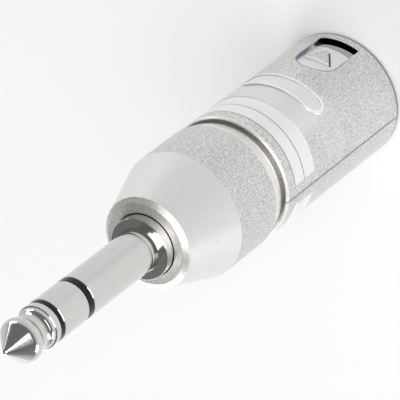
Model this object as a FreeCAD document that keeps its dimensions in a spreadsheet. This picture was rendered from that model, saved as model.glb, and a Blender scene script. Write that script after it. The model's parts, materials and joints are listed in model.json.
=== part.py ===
# Three-pole XLR male to 6.35 mm stereo jack plug adapter, in millimetres.
# The open rim of the XLR end lies in the plane z = 0 and the jack plug points up along +Z.
# The latch window is on the -Y side, and the two mould parting lines lie on the +X and -X sides.
# Every driving dimension is a cell of the sheet, and each sub-part is bound to those cells.
import FreeCAD
import Part
import Sketcher
import math
import os

V = FreeCAD.Vector
TURN = 360
doc = FreeCAD.newDocument("JackAdapter")

# Driving dimensions: alias, value, meaning
DIMENSIONS = [
    # XLR shell
    ("shell_length", 29.35, "open rim to the shell's rear end"),
    ("socket_radius", 8.25, "bore that the mating nose enters"),
    ("shell_wall", 1.25, "wall round the socket"),
    ("rear_bore_step", 0.25, "threaded rear bore wider than the socket, on the radius"),
    ("socket_depth", 15.0, "open rim to the seat lip"),
    ("lip_width", 0.75, "seat lip, inwards from the socket's wall"),
    ("lip_thickness", 1.0, "seat lip along the axis"),
    ("rim_round", 0.4, "outer edge of the open rim"),
    ("rim_chamfer", 0.25, "inner edge of the open rim"),
    ("shell_rear_chamfer", 0.22, "bright bevel beside the groove"),
    # latch window and its recess
    ("window_bottom", 1.55, "open rim to the window"),
    ("window_height", 1.98, "window along the axis"),
    ("window_half_width", 3.1, "window and recess, half across"),
    ("window_corner", 0.45, "rounding of the window's corners at the rim"),
    ("recess_straight", 4.05, "window's top edge to the centre of the round end"),
    ("recess_rear_depth", 0.35, "sunk below the shell at the round end"),
    ("recess_front_depth", 0.55, "sunk below the shell at the window"),
    ("arrow_base_height", 4.37, "window's top edge to the arrow's base"),
    ("arrow_length", 2.95, "arrow's base to its point"),
    ("arrow_half_width", 1.93, "arrow's base, half across"),
    # bare raised plaque
    ("plaque_height", 16.62, "open rim to the plaque's centre line"),
    ("plaque_half_height", 1.75, "plaque along the axis, half"),
    ("plaque_half_width", 6.4, "plaque across, half, seen from the window side"),
    ("plaque_proud", 0.2, "plaque's border above the shell"),
    ("plaque_border", 0.4, "width of the plaque's border"),
    ("plaque_root", 0.3, "what is added to the shell starts this far inside it"),
    ("plaque_sink", 0.12, "plaque's field below its border"),
    # bands beside the groove
    ("band_end", 7.08, "shell's rear end to the far edge of the second smooth band"),
    ("first_line", 2.06, "shell's rear end to the first line"),
    ("second_line", 4.48, "shell's rear end to the second line"),
    ("band_sink", 0.03, "each smooth band below the one before"),
    ("line_width", 0.14, "engraved line, across"),
    ("line_depth", 0.12, "engraved line, deep"),
    ("strip_half_width", 1.6, "plain strip along each parting line, half across"),
    ("ridge_width", 0.16, "parting ridge, across"),
    ("ridge_height", 0.05, "parting ridge above the shell"),
    ("key_width", 1.6, "polarising key in the socket"),
    ("key_height", 0.8, "polarising key above the bore"),
    # insert and contact pins
    ("insert_gap", 0.05, "insert in its bore"),
    ("insert_proud", 0.4, "insert's front face past the seat lip"),
    ("insert_body", 5.6, "insert behind the seat lip"),
    ("insert_ring_depth", 0.5, "moulded ring recess in the front face"),
    ("pin_radius", 1.2, "contact pin"),
    ("pin_circle", 4.75, "contact pins from the axis"),
    ("pin_nose", 2.2, "open rim to the pins' noses"),
    ("pin_nose_round", 0.8, "rounding of a pin's nose"),
    ("pin_collar_width", 0.2, "pin's collar in the insert, wider on the radius"),
    ("cup_width", 0.45, "solder cup wider than the pin, on the radius"),
    ("cup_wall", 0.5, "solder cup's wall"),
    ("cup_seat", 2.0, "solder cup sunk in the insert"),
    ("cup_height", 4.8, "solder cup behind the insert"),
    ("cup_depth", 3.4, "solder cup's bore"),
    ("pin_gap", 0.05, "contact pin in its hole"),
    ("contact_washer_thickness", 0.4, "earthing washer behind the insert"),
    ("contact_washer_clearance", 0.65, "earthing washer's ring clear of the solder cups"),
    # jack housing
    ("thread_gap", 0.05, "spigot thread in the shell's rear bore"),
    ("spigot_wall", 1.05, "wall of the spigot"),
    ("groove_depth", 0.63, "groove between shell and housing, below the shell"),
    ("groove_width", 0.77, "groove along the axis"),
    ("bevel_depth", 0.53, "rear bevel at the groove, below the shell"),
    ("bevel_length", 2.15, "rear bevel along the axis"),
    ("barrel_proud", 0.1, "barrel of the housing above the shell"),
    ("barrel_length", 8.65, "barrel along the axis"),
    ("cone_length", 8.5, "nose cone along the axis"),
    ("cone_top_radius", 6.8, "nose cone's small end"),
    ("nose_bevel_length", 0.55, "bevel round the end face"),
    ("face_ring_radius", 5.95, "ring line on the end face"),
    ("face_ring_width", 0.1, "ring line, across"),
    ("face_ring_depth", 0.1, "ring line, deep"),
    ("nut_room", 0.715, "cavity's wall from the nut's corners"),
    ("front_cavity_depth", 3.9, "cavity round the nut, along the axis"),
    ("cavity_step", 1.1, "slope between the two cavities"),
    # jack plug
    ("collar_ledge", 0.67, "polished collar wider than the shank, on the radius"),
    ("collar_gap", 0.14, "dark gap between collar and housing"),
    ("collar_height", 1.58, "collar above the housing's end face"),
    ("collar_bevel", 0.1, "collar's edge"),
    ("collar_seat", 1.6, "collar sunk in the housing"),
    ("collar_crown", 0.15, "rise of the collar's face towards the sleeve"),
    ("root_flare", 0.125, "sleeve's root on the collar, wider than the plug"),
    ("root_length", 1.12, "taper at the sleeve's root"),
    ("web_thickness", 3.0, "housing wall that the plug is bolted to"),
    ("shank_radius", 3.9, "threaded shank"),
    ("shank_gap", 0.1, "shank in its hole"),
    ("shank_end", 1.4, "shank past the nut"),
    ("plug_radius", 3.175, "quarter-inch plug"),
    ("sleeve_length", 15.05, "collar's face to the ring insulator"),
    ("ring_insulator_thickness", 1.1, "black ring between sleeve and ring contact"),
    ("ring_length", 5.61, "ring contact"),
    ("tip_insulator_thickness", 0.84, "black ring between ring contact and tip"),
    ("insulator_sink", 0.03, "insulators below the contacts"),
    ("contact_edge", 0.12, "bevel on the contacts' edges"),
    ("tip_length", 8.4, "tip contact"),
    ("tip_round", 0.54, "point of the tip"),
    ("tip_half_angle", 41.5, "cone of the tip, half, in degrees"),
    ("ball_height", 4.57, "tip's base to the widest circle of its ball"),
    ("ball_round", 1.35, "edge of the ball"),
    ("neck_depth", 0.825, "neck behind the ball, below the plug's outside"),
    ("neck_round", 1.25, "hollow of the neck"),
    ("neck_bottom", 2.1, "tip's base to the neck's lower end"),
    ("land_length", 0.94, "plain rim of the tip"),
    ("land_step", 0.13, "fine step above the rim"),
    ("flare_round", 0.9, "rounding of the flare"),
    # inner conductors and insulating tubes of the plug
    ("fit_gap", 0.05, "each tube on the one inside it"),
    ("rod_radius", 0.7, "tip rod"),
    ("tube_wall", 0.45, "insulating tubes"),
    ("ring_tube_wall", 0.5, "ring contact's tube"),
    ("lug_thickness", 0.4, "solder lugs"),
    ("washer_thickness", 0.8, "insulating washers"),
    ("flare_head", 0.4, "riveted heads"),
    ("lug_width", 2.0, "solder lugs' tails"),
    ("lug_drop", 4.0, "solder lugs' tails, down from the ring"),
    ("lug_disc_inset", 0.9, "ring lug's disc, within the shank's edge"),
    ("lug_margin", 0.7, "sleeve lug's tail from the cavity's wall"),
    ("outer_washer_inset", 0.3, "washer under the shank, within its edge"),
    ("inner_washer_margin", 0.65, "washer under the ring contact's tube, past the tube"),
    # nut
    ("lock_washer_thickness", 0.5, "lock washer"),
    ("lock_washer_width", 1.05, "lock washer, across its ring"),
    ("nut_height", 2.1, "nut"),
    ("nut_wall", 0.85, "nut's flats outside the thread"),
    # wires
    ("wire_radius", 0.6, "insulated wire"),
    ("core_radius", 0.35, "bare end of a wire"),
    ("wire_bend", 3.0, "bend of a wire"),
]

sheet = doc.addObject("Spreadsheet::Sheet", "Sizes")
for row, (alias, value, meaning) in enumerate(DIMENSIONS, start=1):
    sheet.set(f"A{row}", meaning)
    sheet.set(f"B{row}", str(value))
    sheet.setAlias(f"B{row}", alias)
doc.recompute()


class Size:
    """A length that knows both its sheet expression and its present value."""

    def __init__(self, text, number):
        self.text = text
        self.number = number

    def joined(self, sign, other, number):
        return Size(f"({self.text} {sign} {as_size(other).text})", number)

    def __add__(self, other):
        return self.joined("+", other, self.number + as_size(other).number)

    def __sub__(self, other):
        return self.joined("-", other, self.number - as_size(other).number)

    def __mul__(self, other):
        return self.joined("*", other, self.number * as_size(other).number)

    def __truediv__(self, other):
        return self.joined("/", other, self.number / as_size(other).number)

    def __neg__(self):
        return Size(f"(0 - {self.text})", -self.number)


def as_size(value):
    return value if isinstance(value, Size) else Size(repr(float(value)), float(value))


def cell(alias):
    return Size(f"Sizes.{alias}", float(sheet.get(alias)))


def cosine(angle):
    return Size(f"cos({angle.text} * 1 deg)", math.cos(math.radians(angle.number)))


def sine(angle):
    return Size(f"sin({angle.text} * 1 deg)", math.sin(math.radians(angle.number)))


NONE = Size("0", 0.0)
size = {alias: cell(alias) for alias, value, meaning in DIMENSIONS}

# Radii that follow from the sheet
shell_radius = size["socket_radius"] + size["shell_wall"]
rear_bore_radius = size["socket_radius"] + size["rear_bore_step"]
lip_radius = size["socket_radius"] - size["lip_width"]
collar_radius = size["shank_radius"] + size["collar_ledge"]
lock_washer_radius = size["shank_radius"] + size["fit_gap"] + size["lock_washer_width"]
nut_circumradius = (size["shank_radius"] + size["nut_wall"]) / cosine(as_size(30))
front_cavity_radius = nut_circumradius + size["nut_room"]
pin_collar_radius = size["pin_radius"] + size["pin_collar_width"]
cup_radius = size["pin_radius"] + size["cup_width"]
cup_bore = cup_radius - size["cup_wall"]

# Levels along the axis, upwards from the open rim
shell_top = size["shell_length"]
lip_top = size["socket_depth"] + size["lip_thickness"]
insert_front = size["socket_depth"] - size["insert_proud"]
insert_top = lip_top + size["insert_body"]
spigot_bottom = insert_top + size["contact_washer_thickness"]
bevel_bottom = shell_top + size["groove_width"]
barrel_bottom = bevel_bottom + size["bevel_length"]
barrel_top = barrel_bottom + size["barrel_length"]
cone_top = barrel_top + size["cone_length"]
face = cone_top + size["nose_bevel_length"]
collar_top = face + size["collar_height"]
sleeve_top = collar_top + size["sleeve_length"]
ring_bottom = sleeve_top + size["ring_insulator_thickness"]
ring_top = ring_bottom + size["ring_length"]
tip_bottom = ring_top + size["tip_insulator_thickness"]
tip_top = tip_bottom + size["tip_length"]

# Levels inside the housing, downwards from its end face
seat = face - size["collar_seat"]
web_bottom = seat - size["web_thickness"]
sleeve_lug_bottom = web_bottom - size["lug_thickness"]
nut_top = sleeve_lug_bottom - size["lock_washer_thickness"]
nut_bottom = nut_top - size["nut_height"]
shank_bottom = nut_bottom - size["shank_end"]
ring_lug_top = shank_bottom - size["washer_thickness"]
ring_lug_bottom = ring_lug_top - size["lug_thickness"]
ring_tube_bottom = ring_lug_bottom - size["flare_head"]
tip_lug_top = ring_tube_bottom - size["washer_thickness"]
tip_lug_bottom = tip_lug_top - size["lug_thickness"]
rod_bottom = tip_lug_bottom - size["flare_head"]

# Radii of the plug's nested tubes, outwards from the axis
tip_tube_inner = size["rod_radius"] + size["fit_gap"]
tip_tube_outer = tip_tube_inner + size["tube_wall"]
ring_tube_inner = tip_tube_outer + size["fit_gap"]
ring_tube_outer = ring_tube_inner + size["ring_tube_wall"]
sleeve_tube_inner = ring_tube_outer + size["fit_gap"]
sleeve_tube_outer = sleeve_tube_inner + size["tube_wall"]
sleeve_bore = sleeve_tube_outer + size["fit_gap"]
insulator_radius = size["plug_radius"] - size["insulator_sink"]


def bind(thing, prop, amount):
    """Set a property to a size and bind it to the sheet."""
    thing.setExpression(prop, as_size(amount).text)


def plane_of(body, role):
    return next(item for item in body.Origin.OriginFeatures if item.Role == role)


def new_body(label):
    body = doc.addObject("PartDesign::Body", "Body_" + label)
    body.Label = label
    return body


def pin_down(sketch, kind, corner, axis_geometry, amount):
    """Hold one corner at a bound distance from the sketch's origin."""
    if amount.number == 0:
        sketch.addConstraint(Sketcher.Constraint("PointOnObject", corner, 1, axis_geometry))
    elif amount.number > 0:
        index = sketch.addConstraint(Sketcher.Constraint(kind, -1, 1, corner, 1, amount.number))
        sketch.setExpression(f"Constraints[{index}]", amount.text)
    else:
        index = sketch.addConstraint(Sketcher.Constraint(kind, corner, 1, -1, 1, -amount.number))
        sketch.setExpression(f"Constraints[{index}]", (-amount).text)


def closed_sketch(body, name, role, corners):
    """A closed outline of straight lines, each corner bound across and up."""
    sketch = body.newObject("Sketcher::SketchObject", name)
    sketch.AttachmentSupport = (plane_of(body, role), [""])
    sketch.MapMode = "FlatFace"
    corners = [(as_size(across), as_size(up)) for across, up in corners]
    points = [V(across.number, up.number, 0) for across, up in corners]
    for index, point in enumerate(points):
        sketch.addGeometry(Part.LineSegment(point, points[(index + 1) % len(points)]), False)
    for index in range(len(points)):
        following = (index + 1) % len(points)
        sketch.addConstraint(Sketcher.Constraint("Coincident", index, 2, following, 1))
    for index, (across, up) in enumerate(corners):
        pin_down(sketch, "DistanceX", index, -2, across)
        pin_down(sketch, "DistanceY", index, -1, up)
    return sketch


def revolve(body, corners):
    """Turn an outline of (radius, height) corners about the body's Z axis."""
    sketch = closed_sketch(body, body.Name + "_profile", "XZ_Plane", corners)
    turning = body.newObject("PartDesign::Revolution", body.Name + "_turned")
    turning.Profile = sketch
    turning.ReferenceAxis = (sketch, ["V_Axis"])
    turning.Angle = TURN
    doc.recompute()
    return turning


def round_edges(body, feature, name, circles, radius):
    """Round the circular edges that lie at the given (radius, height) places."""
    chosen = []
    for index, edge in enumerate(feature.Shape.Edges, start=1):
        curve = edge.Curve
        if not isinstance(curve, Part.Circle):
            continue
        for across, up in circles:
            near_radius = abs(curve.Radius - as_size(across).number) < 1e-4
            near_height = abs(curve.Center.z - as_size(up).number) < 1e-4
            if near_radius and near_height:
                chosen.append(f"Edge{index}")
    if not chosen:
        raise RuntimeError(f"no edge to round for {name}")
    rounding = body.newObject("PartDesign::Fillet", name)
    rounding.Base = (feature, chosen)
    bind(rounding, "Radius", radius)
    doc.recompute()
    return rounding


def extrude(body, name, corners, role, length, both_ways=False, reverse=False):
    """Pad an outline drawn on one of the body's planes."""
    sketch = closed_sketch(body, name + "_outline", role, corners)
    pad = body.newObject("PartDesign::Pad", name)
    pad.Profile = sketch
    pad.Midplane = both_ways
    pad.Reversed = reverse
    bind(pad, "Length", length)
    doc.recompute()
    return pad


def box(name, low, high):
    """A block between two bound corners."""
    block = doc.addObject("Part::Box", name)
    for side, letter, first, last in zip(("Length", "Width", "Height"), "xyz", low, high):
        bind(block, side, as_size(last) - first)
        bind(block, f"Placement.Base.{letter}", first)
    return block


def upright(name, radius, bottom, top):
    """A cylinder on the Z axis between two levels."""
    cylinder = doc.addObject("Part::Cylinder", name)
    bind(cylinder, "Radius", radius)
    bind(cylinder, "Height", as_size(top) - bottom)
    bind(cylinder, "Placement.Base.z", bottom)
    return cylinder


def towards_window(name, radius, across, up, reach):
    """A cylinder from the XZ plane out through the window side."""
    cylinder = doc.addObject("Part::Cylinder", name)
    cylinder.Placement = FreeCAD.Placement(V(0, 0, 0), FreeCAD.Rotation(V(1, 0, 0), 90))
    bind(cylinder, "Radius", radius)
    bind(cylinder, "Height", reach)
    bind(cylinder, "Placement.Base.x", across)
    bind(cylinder, "Placement.Base.z", up)
    return cylinder


def fused(name, pieces):
    union = doc.addObject("Part::MultiFuse", name)
    union.Shapes = pieces
    return union


def less(name, base, tool):
    difference = doc.addObject("Part::Cut", name)
    difference.Base = base
    difference.Tool = tool
    return difference


def shared(name, base, tool):
    overlap = doc.addObject("Part::Common", name)
    overlap.Base = base
    overlap.Tool = tool
    return overlap


def ring(name, inner, outer, bottom, top):
    """A tube on the Z axis between two levels."""
    return less(name, upright(name + "_outside", outer, bottom, top),
                upright(name + "_inside", inner, as_size(bottom) - 1, as_size(top) + 1))


parts = []


def finish(label, thing):
    """Name a finished sub-part and list it for export."""
    thing.Label = label
    parts.append(thing)
    return thing


REACH = shell_radius * 2


def make_shell():
    """Die-cast XLR shell: turned form, window, recess with arrow, plaque, bands, ridges, key."""
    body = new_body("shell_turned")
    outer = shell_radius
    bore = size["socket_radius"]
    bevel = size["shell_rear_chamfer"]
    rim = size["rim_chamfer"]
    turned = revolve(body, [
        (bore + rim, NONE),
        (outer, NONE),
        (outer, shell_top - bevel),
        (outer - bevel, shell_top),
        (rear_bore_radius, shell_top),
        (rear_bore_radius, lip_top),
        (lip_radius, lip_top),
        (lip_radius, size["socket_depth"]),
        (bore, size["socket_depth"]),
        (bore, rim),
    ])
    round_edges(body, turned, "rim_rounding", [(outer, NONE)], size["rim_round"])
    added = [body, make_plaque(), make_key()] + make_ridges()
    removed = [make_window(), make_recess()] + make_bands()
    shell = less("Shell", fused("Shell_added", added), fused("Shell_removed", removed))
    finish("xlr_shell", shell)


def make_window():
    """Latch window through the wall, with rounded corners on the rim side."""
    half = size["window_half_width"]
    corner = size["window_corner"]
    low = size["window_bottom"]
    high = low + size["window_height"]
    reach = -REACH
    pieces = [
        box("Window_upper", (-half, reach, low + corner), (half, NONE, high)),
        box("Window_lower", (corner - half, reach, low), (half - corner, NONE, low + corner)),
        towards_window("Window_corner_left", corner, corner - half, low + corner, REACH),
        towards_window("Window_corner_right", corner, half - corner, low + corner, REACH),
    ]
    return fused("Window", pieces)


def make_recess():
    """Shallow round-ended recess behind the window, which leaves an arrow standing."""
    half = size["window_half_width"]
    low = size["window_bottom"]
    window_top = low + size["window_height"]
    centre = window_top + size["recess_straight"]
    rear = centre + half
    ramp = new_body("recess_ramp")
    revolve(ramp, [
        (shell_radius - size["recess_front_depth"], low),
        (REACH, low),
        (REACH, rear),
        (shell_radius - size["recess_rear_depth"], rear),
        (shell_radius - size["recess_front_depth"], window_top),
    ])
    outline = fused("Recess_outline", [
        box("Recess_straight", (-half, -REACH, window_top - size["window_height"] / 2),
            (half, NONE, centre)),
        towards_window("Recess_end", half, NONE, centre, REACH),
    ])
    base = window_top + size["arrow_base_height"]
    arrow = new_body("arrow_form")
    extrude(arrow, "Arrow", [
        (-size["arrow_half_width"], base),
        (NONE, base - size["arrow_length"]),
        (size["arrow_half_width"], base),
    ], "XZ_Plane", REACH)
    return less("Recess", shared("Recess_pocket", ramp, outline), arrow)


def pill(name, half_width, half_height, level):
    """A straight bar with round ends that runs from the XZ plane to the window side."""
    end = half_width - half_height
    return fused(name, [
        box(name + "_bar", (-end, -REACH, level - half_height), (end, NONE, level + half_height)),
        towards_window(name + "_left", half_height, -end, level, REACH),
        towards_window(name + "_right", half_height, end, level, REACH),
    ])


def make_plaque():
    """Raised bare plaque with a border, wrapped round the shell."""
    level = size["plaque_height"]
    half_width = size["plaque_half_width"]
    half_height = size["plaque_half_height"]
    border = size["plaque_border"]
    top = shell_radius + size["plaque_proud"]
    root = shell_radius - size["plaque_root"]
    low = level - half_height - 1
    high = level + half_height + 1
    skin = ring("Plaque_skin", root, top, low, high)
    raised = shared("Plaque_raised", skin, pill("Plaque_form", half_width, half_height, level))
    field_skin = ring("Plaque_field_skin", top - size["plaque_sink"], top + 1, low, high)
    field = shared("Plaque_field", field_skin,
                   pill("Plaque_inner", half_width - border, half_height - border, level))
    return less("Plaque", raised, field)


def make_bands():
    """Two smooth bands and two engraved lines, left out along the strips at the sides."""
    outer = shell_radius
    first = shell_top - size["first_line"]
    second = shell_top - size["second_line"]
    last = shell_top - size["band_end"]
    half_line = size["line_width"] / 2
    levels = [
        ("Band_first", size["band_sink"], second, first),
        ("Band_second", size["band_sink"] * 2, last, second),
        ("Line_first", size["line_depth"], first - half_line, first + half_line),
        ("Line_second", size["line_depth"] + size["band_sink"], second - half_line, second + half_line),
    ]
    cuts = []
    for name, sink, bottom, top in levels:
        strip = size["strip_half_width"]
        band = ring(name + "_ring", outer - sink, outer + 1, bottom, top)
        keep = box(name + "_strip", (-REACH, -strip, bottom - 1), (REACH, strip, top + 1))
        cuts.append(less(name, band, keep))
    return cuts


def make_ridges():
    """Fine ridge of the mould's parting line along each side."""
    outer = shell_radius
    half = size["ridge_width"] / 2
    inner = outer - size["plaque_root"]
    top = outer + size["ridge_height"]
    low = size["rim_round"] + 0.5
    high = shell_top - size["shell_rear_chamfer"]
    return [
        box("Ridge_right", (inner, -half, low), (top, half, high)),
        box("Ridge_left", (-top, -half, low), (-inner, half, high)),
    ]


def make_key():
    """Polarising key inside the socket, opposite the window."""
    half = size["key_width"] / 2
    bore = size["socket_radius"]
    root = (bore + shell_radius) / 2
    bottom = size["window_bottom"]
    top = size["socket_depth"] + size["lip_thickness"] / 2
    return box("Key", (-half, bore - size["key_height"], bottom), (half, root, top))


def pin_places():
    """Pins 1 and 2 flank the window side, and pin 3 is opposite it."""
    circle = size["pin_circle"]
    return {
        "contact_pin_1": (-circle * cosine(as_size(30)), -circle * sine(as_size(30))),
        "contact_pin_2": (circle * cosine(as_size(30)), -circle * sine(as_size(30))),
        "contact_pin_3": (NONE, circle),
    }


def make_insert():
    """Moulded black insert with a stepped edge, pin holes and a ring recess in its face."""
    body = new_body("insert_turned")
    boss = lip_radius - size["insert_gap"]
    edge = rear_bore_radius - size["insert_gap"]
    front = insert_front
    outer_groove = size["pin_circle"] + size["pin_radius"] * 2
    inner_groove = outer_groove - 0.8
    floor = front + size["insert_ring_depth"]
    revolve(body, [
        (NONE, front),
        (inner_groove - 0.6, front),
        (inner_groove - 0.6, floor),
        (inner_groove, floor),
        (inner_groove, front),
        (boss, front),
        (boss, lip_top),
        (edge, lip_top),
        (edge, insert_top),
        (NONE, insert_top),
    ])
    holes = []
    for label, (across, along) in pin_places().items():
        for name, radius, bottom, top in (
                ("_hole", pin_collar_radius + size["pin_gap"], front - 1, insert_top),
                ("_seat", cup_radius + size["pin_gap"], insert_top - size["cup_seat"],
                 insert_top + 1)):
            hole = upright("Insert_" + label + name, radius, bottom, top)
            bind(hole, "Placement.Base.x", across)
            bind(hole, "Placement.Base.y", along)
            holes.append(hole)
    finish("xlr_insert", less("Insert", body, fused("Insert_holes", holes)))


def make_pin(label, across, along):
    """Turned contact pin: rounded nose, shaft and a solder cup with an open side."""
    body = new_body(label)
    shaft = size["pin_radius"]
    cup = cup_radius
    collar = pin_collar_radius
    collar_level = insert_front
    seat_level = insert_top - size["cup_seat"]
    cup_top = insert_top + size["cup_height"]
    floor = cup_top - size["cup_depth"]
    turned = revolve(body, [
        (NONE, size["pin_nose"]),
        (shaft, size["pin_nose"]),
        (shaft, collar_level),
        (collar, collar_level),
        (collar, seat_level),
        (cup, seat_level),
        (cup, cup_top),
        (cup_bore, cup_top),
        (cup_bore, floor),
        (NONE, floor),
    ])
    round_edges(body, turned, label + "_nose", [(shaft, size["pin_nose"])], size["pin_nose_round"])
    opening = closed_sketch(body, label + "_opening", "XZ_Plane", [
        (-cup * 2, floor + cup_bore),
        (cup * 2, floor + cup_bore),
        (cup * 2, cup_top + 1),
        (-cup * 2, cup_top + 1),
    ])
    pocket = body.newObject("PartDesign::Pocket", label + "_open_side")
    pocket.Profile = opening
    pocket.Reversed = along.number > 0
    bind(pocket, "Length", cup * 2)
    bind(body, "Placement.Base.x", across)
    bind(body, "Placement.Base.y", along)
    finish(label, body)


def make_contact_washer():
    """Earthing washer behind the insert, with a tongue to pin 1."""
    outer = rear_bore_radius - size["insert_gap"] * 2
    inner = size["pin_circle"] + cup_radius + size["contact_washer_clearance"]
    flat = ring("Contact_washer_ring", inner, outer, insert_top, spigot_bottom)
    across, along = pin_places()["contact_pin_1"]
    half = size["lug_width"] / 2
    near = size["pin_circle"] + cup_radius + size["fit_gap"]
    tongue = box("Contact_washer_tongue", (near, -half, insert_top), (inner + 0.5, half, spigot_bottom))
    turned = doc.addObject("Part::Compound", "Contact_washer_turned")
    turned.Links = [tongue]
    turned.Placement = FreeCAD.Placement(
        V(0, 0, 0), FreeCAD.Rotation(V(0, 0, 1), math.degrees(math.atan2(along.number, across.number))))
    finish("contact_washer", fused("Contact_washer", [flat, turned]))


def make_housing():
    """Turned jack housing: threaded spigot, groove, bevel, barrel, cone and bored end face."""
    body = new_body("jack_housing")
    spigot = rear_bore_radius - size["thread_gap"]
    cavity = spigot - size["spigot_wall"]
    front_cavity = front_cavity_radius
    front_bottom = web_bottom - size["front_cavity_depth"]
    line = size["face_ring_radius"]
    line_floor = face - size["face_ring_depth"]
    line_outer = line + size["face_ring_width"]
    bore = collar_radius + size["collar_gap"]
    hole = size["shank_radius"] + size["shank_gap"]
    revolve(body, [
        (cavity, spigot_bottom),
        (spigot, spigot_bottom),
        (spigot, shell_top),
        (shell_radius - size["groove_depth"], shell_top),
        (shell_radius - size["groove_depth"], bevel_bottom),
        (shell_radius - size["bevel_depth"], bevel_bottom),
        (shell_radius + size["barrel_proud"], barrel_bottom),
        (shell_radius + size["barrel_proud"], barrel_top),
        (size["cone_top_radius"], cone_top),
        (line_outer, face - size["face_ring_depth"] / 3),
        (line_outer, line_floor),
        (line, line_floor),
        (line, face),
        (bore, face),
        (bore, seat),
        (hole, seat),
        (hole, web_bottom),
        (front_cavity, web_bottom),
        (front_cavity, front_bottom),
        (cavity, front_bottom - size["cavity_step"]),
    ])
    finish("jack_housing", body)


def make_sleeve():
    """Plug sleeve with its polished collar and threaded shank, bored for the inner tubes."""
    body = new_body("plug_sleeve")
    collar = collar_radius
    shank = size["shank_radius"]
    bevel = size["collar_bevel"]
    edge = size["contact_edge"]
    root_bottom = collar_top + size["collar_crown"]
    revolve(body, [
        (sleeve_bore, shank_bottom),
        (shank, shank_bottom),
        (shank, seat),
        (collar, seat),
        (collar, collar_top - bevel),
        (collar - bevel, collar_top),
        (size["plug_radius"] + size["root_flare"], root_bottom),
        (size["plug_radius"], root_bottom + size["root_length"]),
        (size["plug_radius"], sleeve_top - edge),
        (size["plug_radius"] - edge, sleeve_top),
        (sleeve_bore, sleeve_top),
    ])
    finish("plug_sleeve", body)


def make_flanged_tube(label, inner, outer, bottom, flange_bottom, flange_top):
    """Insulating tube with the black flange that shows on the plug."""
    body = new_body(label)
    revolve(body, [
        (inner, bottom),
        (outer, bottom),
        (outer, flange_bottom),
        (insulator_radius, flange_bottom),
        (insulator_radius, flange_top),
        (inner, flange_top),
    ])
    finish(label, body)


def make_ring_contact():
    """Ring contact with the tube that carries its signal to the rear lug."""
    body = new_body("plug_ring")
    edge = size["contact_edge"]
    outer = size["plug_radius"]
    head = ring_tube_outer + size["flare_head"]
    revolve(body, [
        (ring_tube_inner, ring_tube_bottom),
        (head, ring_tube_bottom),
        (head, ring_lug_bottom),
        (ring_tube_outer, ring_lug_bottom),
        (ring_tube_outer, ring_bottom),
        (outer - edge, ring_bottom),
        (outer, ring_bottom + edge),
        (outer, ring_top - edge),
        (outer - edge, ring_top),
        (ring_tube_inner, ring_top),
    ])
    finish("plug_ring", body)


def make_tip():
    """Tip contact on its rod: land, flare, neck, ball and rounded point."""
    body = new_body("plug_tip")
    rod = size["rod_radius"]
    angle = size["tip_half_angle"]
    land = insulator_radius
    land_top = tip_bottom + size["land_length"]
    flare = land - size["land_step"]
    neck = size["plug_radius"] - size["neck_depth"]
    neck_low = tip_bottom + size["neck_bottom"]
    flare_top = neck_low - (flare - neck)
    ball_level = tip_bottom + size["ball_height"]
    ball_centre = size["plug_radius"] - size["ball_round"]
    # the cone touches the ball's rounded edge, and a sphere closes its point
    point_centre = tip_top - size["tip_round"]
    point_radius = size["tip_round"] * cosine(angle)
    point_level = point_centre + size["tip_round"] * sine(angle)
    tangent_across = ball_centre + size["ball_round"] * cosine(angle)
    tangent_up = ball_level + size["ball_round"] * sine(angle)
    # sharp corner where the cone would meet the 45 degree back of the ball
    diagonal = Size("(sqrt(2) * 1)", math.sqrt(2))
    back_sum = ball_centre - ball_level + size["ball_round"] * diagonal
    cone_sum = tangent_across * cosine(angle) + tangent_up * sine(angle)
    corner_up = (cone_sum - back_sum * cosine(angle)) / (sine(angle) + cosine(angle))
    corner_across = back_sum + corner_up
    neck_high = neck - back_sum
    head = rod + size["flare_head"]
    turned = revolve(body, [
        (NONE, rod_bottom),
        (head, rod_bottom),
        (head, tip_lug_bottom),
        (rod, tip_lug_bottom),
        (rod, tip_bottom),
        (land, tip_bottom),
        (land, land_top),
        (flare, land_top),
        (flare, flare_top),
        (neck, neck_low),
        (neck, neck_high),
        (corner_across, corner_up),
        (point_radius, point_level),
        (NONE, point_level),
    ])
    ball = round_edges(body, turned, "ball_edge", [(corner_across, corner_up)], size["ball_round"])
    hollow = round_edges(body, ball, "neck_hollow", [(neck, neck_high), (neck, neck_low)],
                         size["neck_round"])
    round_edges(body, hollow, "flare_edge", [(flare, flare_top)], size["flare_round"])
    point = body.newObject("PartDesign::AdditiveSphere", "point")
    point.AttachmentSupport = (plane_of(body, "XY_Plane"), [""])
    point.MapMode = "FlatFace"
    bind(point, "Radius", size["tip_round"])
    bind(point, "AttachmentOffset.Base.z", point_centre)
    finish("plug_tip", body)


def make_washer(label, inner, outer, bottom, top):
    finish(label, ring("Washer_" + label, inner, outer, bottom, top))


def make_lug(label, inner, outer, bottom, top, tail_reach, heading):
    """Solder lug: a ring on its tube, and a tail that is bent down to take a wire."""
    half = size["lug_width"] / 2
    thick = size["lug_thickness"]
    arm = box(label + "_arm", (inner, -half, bottom), (tail_reach, half, top))
    tail = box(label + "_tail", (tail_reach - thick, -half, top - size["lug_drop"]),
               (tail_reach, half, top))
    blank = fused(label + "_blank", [upright(label + "_disc", outer, bottom, top), arm, tail])
    lug = less(label + "_lug", blank, upright(label + "_hole", inner, bottom - 1, top + 1))
    lug.Placement = FreeCAD.Placement(V(0, 0, 0), FreeCAD.Rotation(V(0, 0, 1), heading))
    finish(label, lug)


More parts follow.
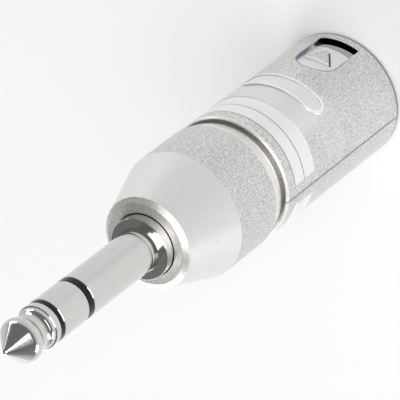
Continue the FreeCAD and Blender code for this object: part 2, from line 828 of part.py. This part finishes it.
def make_nut():
    """Hexagon nut that bolts the plug into the housing."""
    prism = doc.addObject("Part::Prism", "Nut_prism")
    prism.Polygon = 6
    bind(prism, "Circumradius", nut_circumradius)
    bind(prism, "Height", size["nut_height"])
    prism.Placement = FreeCAD.Placement(V(0, 0, 0), FreeCAD.Rotation(V(0, 0, 1), 30))
    bind(prism, "Placement.Base.z", nut_bottom)
    hole = upright("Nut_hole", size["shank_radius"] + size["fit_gap"], nut_bottom - 1, nut_top + 1)
    finish("plug_nut", less("Nut", prism, hole))


def rounded_path(points, bend):
    """Straight runs joined by tangent arcs of one radius."""
    edges = []
    here = points[0]
    for before, corner, after in zip(points, points[1:], points[2:]):
        back = (before - corner).normalize()
        ahead = (after - corner).normalize()
        half_turn = (math.pi - back.getAngle(ahead)) / 2
        if half_turn < 1e-6:
            continue
        trim = bend * math.tan(half_turn)
        start = corner + back * trim
        end = corner + ahead * trim
        towards = (back + ahead).normalize()
        middle = corner + towards * (bend / math.cos(half_turn) - bend)
        edges.append(Part.LineSegment(here, start).toShape())
        edges.append(Part.Arc(start, middle, end).toShape())
        here = end
    edges.append(Part.LineSegment(here, points[-1]).toShape())
    return Part.Wire(edges)


def make_wire(label, pin, top_across, top_along, top_level):
    """Short insulated wire from a solder cup to the end of a lug's tail."""
    across, along = (amount.number for amount in pin_places()[pin])
    cup_top = (insert_top + size["cup_height"]).number
    cup_floor = cup_top - size["cup_depth"].number
    radius = size["wire_radius"].number
    core = size["core_radius"].number
    low = V(across, along, cup_top + radius)
    high = V(top_across, top_along, top_level)
    rise = high.z - low.z
    points = [low, low + V(0, 0, rise * 0.3), high - V(0, 0, rise * 0.3), high]
    path = rounded_path(points, size["wire_bend"].number)
    section = Part.Wire([Part.makeCircle(radius, low, V(0, 0, 1))])
    covering = path.makePipeShell([section], True, False)
    bare = Part.makeCylinder(core, low.z - cup_floor, V(across, along, cup_floor))
    solid = doc.addObject("Part::Feature", "Wire_" + label)
    solid.Shape = covering.fuse(bare).Solids[0]
    finish(label, solid)


def make_plug():
    """All pieces of the jack plug, from the sleeve inwards and then its rear fittings."""
    make_sleeve()
    make_flanged_tube("ring_insulator", sleeve_tube_inner, sleeve_tube_outer, shank_bottom,
                      sleeve_top, ring_bottom)
    make_ring_contact()
    make_flanged_tube("tip_insulator", tip_tube_inner, tip_tube_outer, ring_tube_bottom,
                      ring_top, tip_bottom)
    make_tip()
    make_washer("outer_rear_washer", sleeve_tube_inner, size["shank_radius"] - size["outer_washer_inset"],
                ring_lug_top, shank_bottom)
    make_washer("inner_rear_washer", tip_tube_inner, ring_tube_outer + size["inner_washer_margin"],
                tip_lug_top, ring_tube_bottom)
    make_washer("lock_washer", size["shank_radius"] + size["fit_gap"], lock_washer_radius,
                nut_top, sleeve_lug_bottom)
    make_nut()


def make_wiring():
    """Three lugs, and three wires that join them to the contact pins."""
    middle = size["lug_thickness"].number / 2
    drop = size["lug_drop"]
    tip_tail = size["pin_circle"] * cosine(as_size(30)) + size["lug_thickness"] / 2
    ring_tail = size["pin_circle"] + size["lug_thickness"] / 2
    sleeve_tail = front_cavity_radius - size["lug_margin"]
    make_lug("tip_lug", tip_tube_inner, ring_tube_outer, tip_lug_bottom, tip_lug_top, tip_tail, 0)
    make_lug("ring_lug", sleeve_tube_inner, size["shank_radius"] - size["lug_disc_inset"], ring_lug_bottom,
             ring_lug_top, ring_tail, 90)
    make_lug("sleeve_lug", size["shank_radius"] + size["fit_gap"], lock_washer_radius,
             sleeve_lug_bottom, web_bottom, sleeve_tail, 180)
    make_wire("tip_wire", "contact_pin_2", tip_tail.number - middle, 0,
              (tip_lug_top - drop).number)
    make_wire("ring_wire", "contact_pin_3", 0, ring_tail.number - middle,
              (ring_lug_top - drop).number)
    make_wire("sleeve_wire", "contact_pin_1", middle - sleeve_tail.number, 0,
              (web_bottom - drop).number)


def write_parts():
    """Recompute, refuse anything failed or invalid, and write one file for each sub-part."""
    doc.recompute()
    for thing in doc.Objects:
        if "Invalid" in thing.State or "Error" in thing.State:
            raise RuntimeError(f"{thing.Name} failed: {thing.State}")
    for thing in parts:
        if thing.Shape.isNull() or not thing.Shape.isValid():
            raise RuntimeError(f"{thing.Label} has no valid shape")
        if len(thing.Shape.Solids) != 1:
            raise RuntimeError(f"{thing.Label} has {len(thing.Shape.Solids)} solids")
    os.makedirs("parts", exist_ok=True)
    for thing in parts:
        thing.Shape.exportStep(os.path.join("parts", thing.Label + ".step"))
        print(thing.Label, round(thing.Shape.Volume, 2))


make_shell()
make_insert()
for pin_label, (pin_across, pin_along) in pin_places().items():
    make_pin(pin_label, pin_across, pin_along)
make_contact_washer()
make_housing()
make_plug()
make_wiring()
write_parts()
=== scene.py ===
# Jack adapter: looks, floor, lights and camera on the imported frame, in metres.
# The open rim of the XLR end lies in z = 0, the plug points up, and the window is on the -Y side.
import bmesh
import bpy
import json
import math
from mathutils import Matrix, Vector


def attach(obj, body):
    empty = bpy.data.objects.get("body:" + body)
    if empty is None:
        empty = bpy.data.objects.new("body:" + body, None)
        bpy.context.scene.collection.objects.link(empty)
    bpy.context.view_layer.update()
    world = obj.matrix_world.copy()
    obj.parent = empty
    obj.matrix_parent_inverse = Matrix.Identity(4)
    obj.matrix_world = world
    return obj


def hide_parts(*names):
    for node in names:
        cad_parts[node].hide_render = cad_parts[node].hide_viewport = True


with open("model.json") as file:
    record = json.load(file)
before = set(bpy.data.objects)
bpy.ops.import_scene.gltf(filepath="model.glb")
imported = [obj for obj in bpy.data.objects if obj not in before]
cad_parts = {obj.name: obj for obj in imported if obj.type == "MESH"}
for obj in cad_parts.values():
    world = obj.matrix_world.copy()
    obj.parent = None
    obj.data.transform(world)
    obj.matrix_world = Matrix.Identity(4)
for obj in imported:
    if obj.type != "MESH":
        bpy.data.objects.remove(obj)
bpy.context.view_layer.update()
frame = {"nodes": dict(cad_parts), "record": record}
SCENE = bpy.context.scene
MM = 0.001


# Materials

class Nodes:
    """A node tree that is built in short calls."""

    def __init__(self, owner):
        owner.use_nodes = True
        self.tree = owner.node_tree
        self.tree.nodes.clear()

    def node(self, kind, **settings):
        made = self.tree.nodes.new(kind)
        for key, value in settings.items():
            setattr(made, key, value)
        return made

    def link(self, source, target):
        self.tree.links.new(source, target)

    def feed(self, target, value):
        if isinstance(value, bpy.types.NodeSocket):
            self.link(value, target)
        else:
            target.default_value = value

    def place(self, scale=(1, 1, 1)):
        """Object coordinates in millimetres, stretched by scale."""
        source = self.node("ShaderNodeTexCoord")
        mapping = self.node("ShaderNodeMapping")
        mapping.inputs["Scale"].default_value = [1 / MM * factor for factor in scale]
        self.link(source.outputs["Object"], mapping.inputs["Vector"])
        return mapping.outputs["Vector"]

    def parts(self, place):
        split = self.node("ShaderNodeSeparateXYZ")
        self.link(place, split.inputs[0])
        return split.outputs

    def noise(self, place, scale, detail=2.0, roughness=0.5):
        made = self.node("ShaderNodeTexNoise")
        self.link(place, made.inputs["Vector"])
        made.inputs["Scale"].default_value = scale
        made.inputs["Detail"].default_value = detail
        made.inputs["Roughness"].default_value = roughness
        return made.outputs["Fac"]

    def math(self, operation, first, second=0.0):
        made = self.node("ShaderNodeMath", operation=operation)
        self.feed(made.inputs[0], first)
        self.feed(made.inputs[1], second)
        return made.outputs[0]

    def times(self, first, *others):
        for other in others:
            first = self.math("MULTIPLY", first, other)
        return first

    def length(self, first, second):
        squares = self.math("ADD", self.times(first, first), self.times(second, second))
        return self.math("SQRT", squares)

    def span(self, value, low, high, to_low, to_high):
        made = self.node("ShaderNodeMapRange")
        self.feed(made.inputs["Value"], value)
        made.inputs["From Min"].default_value = low
        made.inputs["From Max"].default_value = high
        made.inputs["To Min"].default_value = to_low
        made.inputs["To Max"].default_value = to_high
        return made.outputs["Result"]

    def between(self, value, limits, soft):
        """1 inside the limits and 0 outside, with soft ends."""
        low, high = limits
        return self.times(self.span(value, low - soft, low + soft, 0, 1),
                          self.span(value, high - soft, high + soft, 1, 0))

    def tint(self, factor, first, second):
        made = self.node("ShaderNodeMix", data_type="RGBA")
        self.feed(made.inputs["Factor"], factor)
        self.feed(made.inputs[6], first)
        self.feed(made.inputs[7], second)
        return made.outputs[2]

    def bump(self, height, distance, after=None):
        made = self.node("ShaderNodeBump")
        self.link(height, made.inputs["Height"])
        made.inputs["Distance"].default_value = distance
        made.inputs["Strength"].default_value = 1.0
        if after is not None:
            self.link(after, made.inputs["Normal"])
        return made.outputs["Normal"]


class Look(Nodes):
    """A material with one surface shader."""

    def __init__(self, name):
        self.material = bpy.data.materials.new(name)
        super().__init__(self.material)
        self.shader = self.node("ShaderNodeBsdfPrincipled")
        self.output = self.node("ShaderNodeOutputMaterial")
        self.link(self.shader.outputs["BSDF"], self.output.inputs["Surface"])

    def set(self, **inputs):
        for key, value in inputs.items():
            self.feed(self.shader.inputs[key.replace("_", " ")], value)
        return self


def rgb(red, green, blue):
    return (red, green, blue, 1.0)


def scaled(color, factor):
    """The colour times factor, with no part above 1."""
    return [min(part * factor, 1) for part in color[:3]] + [1]


# Satin metal. Levels run along the axis and radii from it, in millimetres.

LEVEL_SOFT = 0.06
RADIUS_SOFT = 0.02
SEAM_DARK = 0.45
# Painted shade: colour of the dark line round the recess's round end.
POCKET_RIM_SHADE = rgb(0.20, 0.23, 0.32)
# Painted shade: colour and width of the dark strip along the arrow's slanting sides.
ARROW_FOOT_SHADE = rgb(0.07, 0.09, 0.20)
FOOT_SHADE_WIDTH = 0.34
ARROW_POINT = 4.97
ARROW_LENGTH = 2.8
ARROW_SQUARE = (0.836, -0.547)


def patch(levels, radii, shade, smooth=1.0, milky=0.0, clear=0.0, facing="", cover=1.0):
    """A stretch of a satin piece with its own finish, or with painted shade or a painted highlight:
    limits along and from the axis, colour, how smooth and how milky it is, how far it keeps from the
    parting line (below
    zero: on the window side only, beyond that depth), whether it takes the walls that face up the axis
    or the others, and how far its colour covers the grain's."""
    return dict(levels=levels, radii=radii, shade=shade, smooth=smooth, milky=milky, clear=clear,
                facing=facing, cover=cover)


class Satin(Look):
    """Satin plate over a fine cast grain, to which stretches of another finish, of painted shade and of
    painted highlights are added.
    """

    def __init__(self, name, color):
        super().__init__(name)
        place = self.place()
        self.east, self.north, self.along = self.parts(place)
        self.beside = self.math("ABSOLUTE", self.north)
        self.radius = self.length(self.east, self.north)
        self.upward = self.parts(self.node("ShaderNodeTexCoord").outputs["Normal"])[2]
        self.fine = self.noise(place, 4.4, 4.0, 0.7)
        self.broad = self.noise(place, 0.35, 2.0, 0.5)
        self.tone = self.tint(self.span(self.fine, 0.36, 0.64, 0, 1),
                              scaled(color, 0.62), scaled(color, 1.30))
        self.smooth = 0.0
        self.milky = 0.0

    def add_patch(self, levels, radii, shade, smooth, milky, clear, facing, cover):
        inside = self.times(self.between(self.along, levels, LEVEL_SOFT),
                            self.between(self.radius, radii, RADIUS_SOFT))
        if clear > 0:
            inside = self.times(inside, self.span(self.beside, clear, clear + 0.1, 0, 1))
        if clear < 0:
            inside = self.times(inside, self.span(self.north, clear - 0.6, clear + 0.6, 1, 0))
        if facing == "up":
            inside = self.times(inside, self.span(self.upward, 0.3, 0.6, 0, 1))
        if facing == "aside":
            inside = self.times(inside, self.span(self.upward, 0.3, 0.6, 1, 0))
        self.tone = self.tint(self.times(inside, cover), self.tone, rgb(*shade))
        self.smooth = self.math("MAXIMUM", self.smooth, self.times(inside, smooth))
        self.milky = self.math("MAXIMUM", self.milky, self.times(inside, milky))

    def add_seam(self, half):
        """Darker parting line, half its width to each side."""
        line = self.span(self.beside, half * 0.6, half, SEAM_DARK, 0)
        self.tone = self.tint(line, self.tone, rgb(0.20, 0.20, 0.21))

    def window_side(self):
        return self.span(self.north, -2.6, -2.0, 1, 0)

    def add_pocket_rim_shade(self, level, half):
        """Painted shade: a darker, bluish line round the recess's round end, whose end is centred at
        level.
        """
        past = self.math("MAXIMUM", self.math("SUBTRACT", self.along, level), 0.0)
        rim_shade = self.times(self.between(self.length(self.east, past), (half - 0.05, half + 0.14), 0.05),
                         self.window_side(), self.span(self.along, 4.0, 5.5, 0, 0.8))
        self.tone = self.tint(rim_shade, self.tone, POCKET_RIM_SHADE)

    def add_arrow_foot_shade(self):
        """Painted shade: a dark navy strip on the recess floor just outside the arrow's two slanting
        sides.
        """
        across, up = ARROW_SQUARE
        outside = self.math("ADD", self.times(self.math("ABSOLUTE", self.east), across),
                            self.times(self.math("SUBTRACT", self.along, ARROW_POINT), up))
        foot_shade = self.times(self.between(outside, (0.0, FOOT_SHADE_WIDTH), 0.05),
                          self.between(self.along, (ARROW_POINT - 0.1, ARROW_POINT + ARROW_LENGTH), 0.2),
                          self.window_side(), self.between(self.radius, (8.6, 9.3), RADIUS_SOFT))
        self.tone = self.tint(foot_shade, self.tone, ARROW_FOOT_SHADE)

    def finish(self, grain=0.044, rough=0.34):
        self.set(Base_Color=self.tone, Metallic=self.math("SUBTRACT", 1.0, self.milky))
        uneven = self.math("ADD", self.span(self.fine, 0.3, 0.7, rough - 0.03, rough + 0.05),
                           self.span(self.broad, 0.35, 0.65, -0.02, 0.02))
        uneven = self.math("SUBTRACT", uneven, self.times(self.smooth, 0.04))
        self.set(Roughness=self.math("ADD", uneven, self.times(self.milky, 0.35)))
        coarse = self.math("SUBTRACT", 1.0, self.smooth)
        height = self.times(self.math("SUBTRACT", self.fine, 0.5),
                            self.math("ADD", self.times(coarse, 0.9), 0.1))
        self.set(Normal=self.bump(height, grain * MM))
        return self.material


def shell_nickel():
    look = Satin("shell_nickel", rgb(0.70, 0.695, 0.685))
    for each in SHELL_PATCHES:
        look.add_patch(**each)
    look.add_seam(0.26)
    # Painted shade round the recess's round end and along the arrow's slanting sides.
    look.add_pocket_rim_shade(7.58, 3.1)
    look.add_arrow_foot_shade()
    return look.finish()


def housing_nickel():
    look = Satin("housing_nickel", rgb(0.68, 0.675, 0.665))
    for each in HOUSING_PATCHES:
        look.add_patch(**each)
    return look.finish()


# Other materials

ROUND_LINES = (0.02, 0.02, 1.0)


def turned_nickel(name, color):
    """Satin plate over fine turning lines round the axis."""
    look = Look(name)
    lines = look.noise(look.place(ROUND_LINES), 14.0, 2.0, 0.6)
    place = look.place()
    fine = look.noise(place, 3.0, 3.0, 0.6)
    mixed = look.math("ADD", look.math("MULTIPLY", lines, 0.5), look.math("MULTIPLY", fine, 0.5))
    look.set(Base_Color=look.tint(look.span(mixed, 0.35, 0.65, 0, 1),
                                  scaled(color, 0.92), scaled(color, 1.06)))
    look.set(Metallic=1.0, Roughness=look.span(mixed, 0.35, 0.65, 0.26, 0.34))
    turned = look.bump(lines, 0.002 * MM)
    look.set(Normal=look.bump(fine, 0.006 * MM, after=turned))
    return look.material


def polished_nickel(name, color, rough=0.08):
    """Polished plate with faint turning lines and light handling marks."""
    look = Look(name)
    lines = look.noise(look.place(ROUND_LINES), 18.0, 2.0, 0.6)
    marks = look.noise(look.place(), 1.2, 4.0, 0.65)
    look.set(Base_Color=look.tint(look.span(marks, 0.35, 0.65, 0, 1), scaled(color, 0.95), color))
    look.set(Metallic=1.0)
    look.set(Roughness=look.math("ADD", look.span(marks, 0.3, 0.7, rough, rough + 0.05),
                                 look.span(lines, 0.3, 0.7, 0.0, 0.03)))
    look.set(Normal=look.bump(lines, 0.0006 * MM))
    return look.material


def moulded(name, color, rough=0.35, grain=0.004, gloss=0.5):
    """Moulded plastic with a fine surface."""
    look = Look(name)
    fine = look.noise(look.place(), 8.0, 2.0, 0.6)
    look.set(Base_Color=look.tint(look.span(fine, 0.3, 0.7, 0, 1), color, scaled(color, 1.3)))
    look.set(Roughness=look.span(fine, 0.3, 0.7, rough - 0.04, rough + 0.06))
    look.set(Specular_IOR_Level=gloss)
    look.set(Normal=look.bump(fine, grain * MM))
    return look.material


ANY = (0, 20)
SHELL_PATCHES = [
    patch((18.0, 22.25), (9.2, 9.9), (0.78, 0.78, 0.77), 0.7, 0.2, clear=-6.5),
    patch((22.25, 27.3), (9.2, 9.9), (0.90, 0.895, 0.88), 1.0, 0.3, clear=1.6),
    patch((14.0, 19.0), (9.51, 9.63), (0.84, 0.84, 0.83), 0.8, 0.25, clear=-2),
    patch((14.0, 19.0), (9.64, 9.9), (0.97, 0.97, 0.96), 1.0, 0.4, clear=-2),
    patch((3.5, 12.0), (8.6, 9.2), (0.84, 0.84, 0.84), 0.8, 0.25, clear=-2),
    # Painted shade: the recess and arrow walls that do not face up the axis are darker and bluer.
    patch((3.5, 12.0), (9.22, 9.42), (0.50, 0.52, 0.57), 0.5, clear=-2, facing="aside"),
    # Painted highlight: the arrow's base wall, which faces up the axis, is white and milky.
    patch((7.6, 12.0), (9.14, 9.48), (1.0, 1.0, 0.98), 1.0, 1.0, clear=-2, facing="up"),
    # Painted shade: dark lines at the two steps between the bands.
    patch((24.80, 24.94), (9.2, 9.9), (0.20, 0.20, 0.21), 0.5, clear=1.6),
    patch((27.22, 27.36), (9.2, 9.9), (0.20, 0.20, 0.21), 0.5, clear=1.6),
    # Smooth finish with a painted highlight: the shell's rear edge by the groove is near white.
    patch((28.95, 29.4), (9.2, 9.9), (0.95, 0.94, 0.92), 1.0, 0.3),
    # Painted shade: the open rim's edge, where the shell stands on the floor, is dark.
    patch((-0.5, 0.55), (9.0, 9.9), (0.24, 0.25, 0.28), 0.2),
    # Painted shade: the window's far wall, in shadow, is black.
    patch((1.45, 3.6), (8.27, 9.32), (0.02, 0.02, 0.02), 0.5, clear=-7.5),
    # Painted highlight: the outer edge of the window's far wall, facing up the axis, is white.
    patch((1.45, 1.75), (9.32, 9.49), (1.0, 1.0, 1.0), 1.0, 0.8, clear=-7.5, facing="up"),
]
HOUSING_PATCHES = [
    # Painted shade: the groove between the shell and the housing is dark brown.
    patch((29.3, 30.1), ANY, (0.30, 0.28, 0.25), 0.6),
    patch((30.1, 32.3), ANY, (0.82, 0.815, 0.80), 0.9),
    patch((40.95, 49.4), ANY, (0.82, 0.815, 0.80), 0.75, cover=0.8),
    patch((49.4, 50.1), ANY, (1.0, 0.96, 0.90), 0.0, 0.1, cover=0.35),
]

LOOKS = {
    "shell": shell_nickel(),
    "housing": housing_nickel(),
    "plug": polished_nickel("plug_nickel", rgb(0.66, 0.655, 0.64)),
    "insulator": moulded("insulator_black", rgb(0.003, 0.003, 0.004), 0.16, 0.001, 0.25),
    "insert": moulded("insert_black", rgb(0.020, 0.020, 0.021), 0.42, 0.006),
    "contact": polished_nickel("contact_silver", rgb(0.82, 0.80, 0.76), 0.12),
    "washer_metal": turned_nickel("washer_plate", rgb(0.60, 0.60, 0.59)),
    "fibre": moulded("washer_fibre", rgb(0.30, 0.06, 0.04), 0.6, 0.01),
    "lug": polished_nickel("lug_tin", rgb(0.74, 0.72, 0.68), 0.2),
    "wire_red": moulded("wire_red", rgb(0.42, 0.02, 0.02), 0.4, 0.002),
    "wire_white": moulded("wire_white", rgb(0.75, 0.75, 0.72), 0.4, 0.002),
    "wire_black": moulded("wire_black", rgb(0.02, 0.02, 0.02), 0.4, 0.002),
}


def dress():
    """Give each node the look of its material slot."""
    for part in frame["record"]["subparts"]:
        shape = frame["nodes"][part["node"]]
        shape.data.materials.clear()
        shape.data.materials.append(LOOKS[part["material_slot"]])


# Shell

MOST_SAG = 0.01 * MM
SAME_PLACE = 0.0005 * MM
SAME_RADIUS = 0.003 * MM
OUTWARD = 0.7
MOST_HALVINGS = 8


def true_round(node, name):
    """Copy of a node whose long facets are divided until they follow their own cylinder.

    A round face is one whose corners lie at one distance from the axis and face away from it. Its edges
    are halved, and the new corners go out to that distance, until no edge lies MOST_SAG inside. Round
    faces between the levels of those edges get normals that point straight out."""
    mesh = frame["nodes"][node].data.copy()
    mesh.name = name
    facing = [tuple(corner.vector) for corner in mesh.corner_normals]
    form = bmesh.new()
    form.from_mesh(mesh)
    normal = form.loops.layers.float_vector.new("facing")
    wide = form.verts.layers.float.new("wide")
    for face, polygon in zip(form.faces, mesh.polygons):
        for loop, index in zip(face.loops, polygon.loop_indices):
            loop[normal] = facing[index]
    bmesh.ops.remove_doubles(form, verts=form.verts, dist=SAME_PLACE)
    for vert in form.verts:
        vert[wide] = vert.co.xy.length

    def is_round(face):
        radii = [vert[wide] for vert in face.verts]
        outward = min(loop[normal].xy.dot(loop.vert.co.xy.normalized()) for loop in face.loops)
        return max(radii) - min(radii) < SAME_RADIUS and outward > OUTWARD

    def sags(edge):
        first, second = edge.verts
        middle = (first.co + second.co) / 2
        depth = (first[wide] + second[wide]) / 2 - middle.xy.length
        return depth > MOST_SAG and any(is_round(face) for face in edge.link_faces)

    levels = [vert.co.z for edge in form.edges if sags(edge) for vert in edge.verts]
    for _ in range(MOST_HALVINGS):
        long_edges = [edge for edge in form.edges if sags(edge)]
        if not long_edges:
            break
        made = bmesh.ops.subdivide_edges(form, edges=long_edges, cuts=1)
        for vert in made["geom_inner"]:
            if isinstance(vert, bmesh.types.BMVert):
                vert.co.xy *= vert[wide] / vert.co.xy.length
        bmesh.ops.triangulate(form, faces=form.faces)
    if levels:
        low = min(levels) - SAME_RADIUS
        high = max(levels) + SAME_RADIUS
        for face in form.faces:
            if is_round(face) and all(low < vert.co.z < high for vert in face.verts):
                for loop in face.loops:
                    loop[normal] = (*loop.vert.co.xy.normalized(), 0)
    form.to_mesh(mesh)
    form.free()
    facing = [Vector(corner.vector).normalized() for corner in mesh.attributes["facing"].data]
    for extra in ("facing", "wide"):
        mesh.attributes.remove(mesh.attributes[extra])
    mesh.normals_split_custom_set(facing)
    piece = bpy.data.objects.new(name, mesh)
    SCENE.collection.objects.link(piece)
    return piece


def make_shell():
    """The shell's casting with true curves between the plaque and the bands."""
    shell = true_round("xlr_shell", "shell_casting")
    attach(shell, "root")
    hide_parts("xlr_shell")


# Floor, camera and lights

FLOOR_REACH = 0.5
FLOOR_WHITE = 0.3
CAMERA_PLACE = Vector((-0.2651, -0.3278, 0.4729))
TOWARDS_VIEWER = Vector((-0.43717, -0.53985, 0.71930))
PICTURE_RIGHT = Vector((-0.83251, -0.05959, -0.55076))
HORIZON_GREY = 0.8
CEILING_GREY = 0.2
CEILING_HEIGHT = 0.3
LAMP_AIM = Vector((0, 0, 0.04))
LAMPS = {
    # name: (place, width and height, brightness where a white sheet is 1)
    "overhead": ((-0.2, -0.1, 0.5), (0.4, 0.4), 4.0),
    "back": ((0.1, 0.6, 0.25), (0.3, 0.3), 10.0),
    "left": ((0.6, -0.4, 0.1), (0.4, 0.3), 2.5),
    "right": ((-0.6, 0.3, 0.15), (0.4, 0.3), 2.0),
}


def make_floor():
    """Pale floor that shows as white and keeps the object's shadow."""
    mesh = bpy.data.meshes.new("floor")
    corners = [(-1, -1), (1, -1), (1, 1), (-1, 1)]
    mesh.from_pydata([(x * FLOOR_REACH, y * FLOOR_REACH, -0.0001) for x, y in corners], [],
                     [(0, 1, 2, 3)])
    floor = bpy.data.objects.new("floor", mesh)
    SCENE.collection.objects.link(floor)
    look = Look("floor_white")
    look.set(Base_Color=rgb(0.9, 0.9, 0.9), Roughness=0.9)
    glow = look.node("ShaderNodeEmission")
    glow.inputs["Color"].default_value = rgb(1, 1, 1)
    ray = look.node("ShaderNodeLightPath")
    seen = look.math("MAXIMUM", ray.outputs["Is Camera Ray"], ray.outputs["Is Glossy Ray"])
    seen = look.math("MAXIMUM", seen, ray.outputs["Is Transmission Ray"])
    mix = look.node("ShaderNodeMixShader")
    look.link(look.times(seen, FLOOR_WHITE), mix.inputs[0])
    look.link(look.shader.outputs["BSDF"], mix.inputs[1])
    look.link(glow.outputs[0], mix.inputs[2])
    look.link(mix.outputs[0], look.output.inputs["Surface"])
    mesh.materials.append(look.material)


def make_camera():
    """Long lens, from above the plug and turned so that the axis runs up to the right."""
    data = bpy.data.cameras.new("camera")
    data.sensor_width = 36.0
    data.lens = 400.0
    data.clip_start = 0.01
    data.clip_end = 10.0
    camera = bpy.data.objects.new("camera", data)
    SCENE.collection.objects.link(camera)
    back = TOWARDS_VIEWER.normalized()
    right = (PICTURE_RIGHT - PICTURE_RIGHT.dot(back) * back).normalized()
    up = back.cross(right)
    camera.matrix_world = Matrix((
        (right.x, up.x, back.x, CAMERA_PLACE.x),
        (right.y, up.y, back.y, CAMERA_PLACE.y),
        (right.z, up.z, back.z, CAMERA_PLACE.z),
        (0, 0, 0, 1),
    ))
    SCENE.camera = camera


def make_world():
    """Plain grey room, pale at the horizon and darker overhead, the same for every ray."""
    world = bpy.data.worlds.new("room")
    SCENE.world = world
    nodes = Nodes(world)
    height = nodes.parts(nodes.node("ShaderNodeTexCoord").outputs["Generated"])["Z"]
    light = nodes.node("ShaderNodeBackground")
    light.inputs["Color"].default_value = rgb(1, 1, 1)
    level = nodes.span(height, 0, CEILING_HEIGHT, HORIZON_GREY, CEILING_GREY)
    nodes.link(level, light.inputs["Strength"])
    output = nodes.node("ShaderNodeOutputWorld")
    nodes.link(light.outputs[0], output.inputs["Surface"])


def make_lamps():
    """White soft boxes overhead, at the back and on both sides."""
    for name, (place, size, brightness) in LAMPS.items():
        data = bpy.data.lights.new(name, "AREA")
        data.shape = "RECTANGLE"
        data.size, data.size_y = size
        data.energy = brightness * math.pi * size[0] * size[1]
        lamp = bpy.data.objects.new(name, data)
        SCENE.collection.objects.link(lamp)
        lamp.location = place
        lamp.rotation_mode = "QUATERNION"
        lamp.rotation_quaternion = (Vector(place) - LAMP_AIM).to_track_quat("Z", "Y")
        lamp.visible_camera = False


dress()
make_shell()
make_floor()
make_camera()
make_world()
make_lamps()
SCENE.view_settings.view_transform = "Standard"
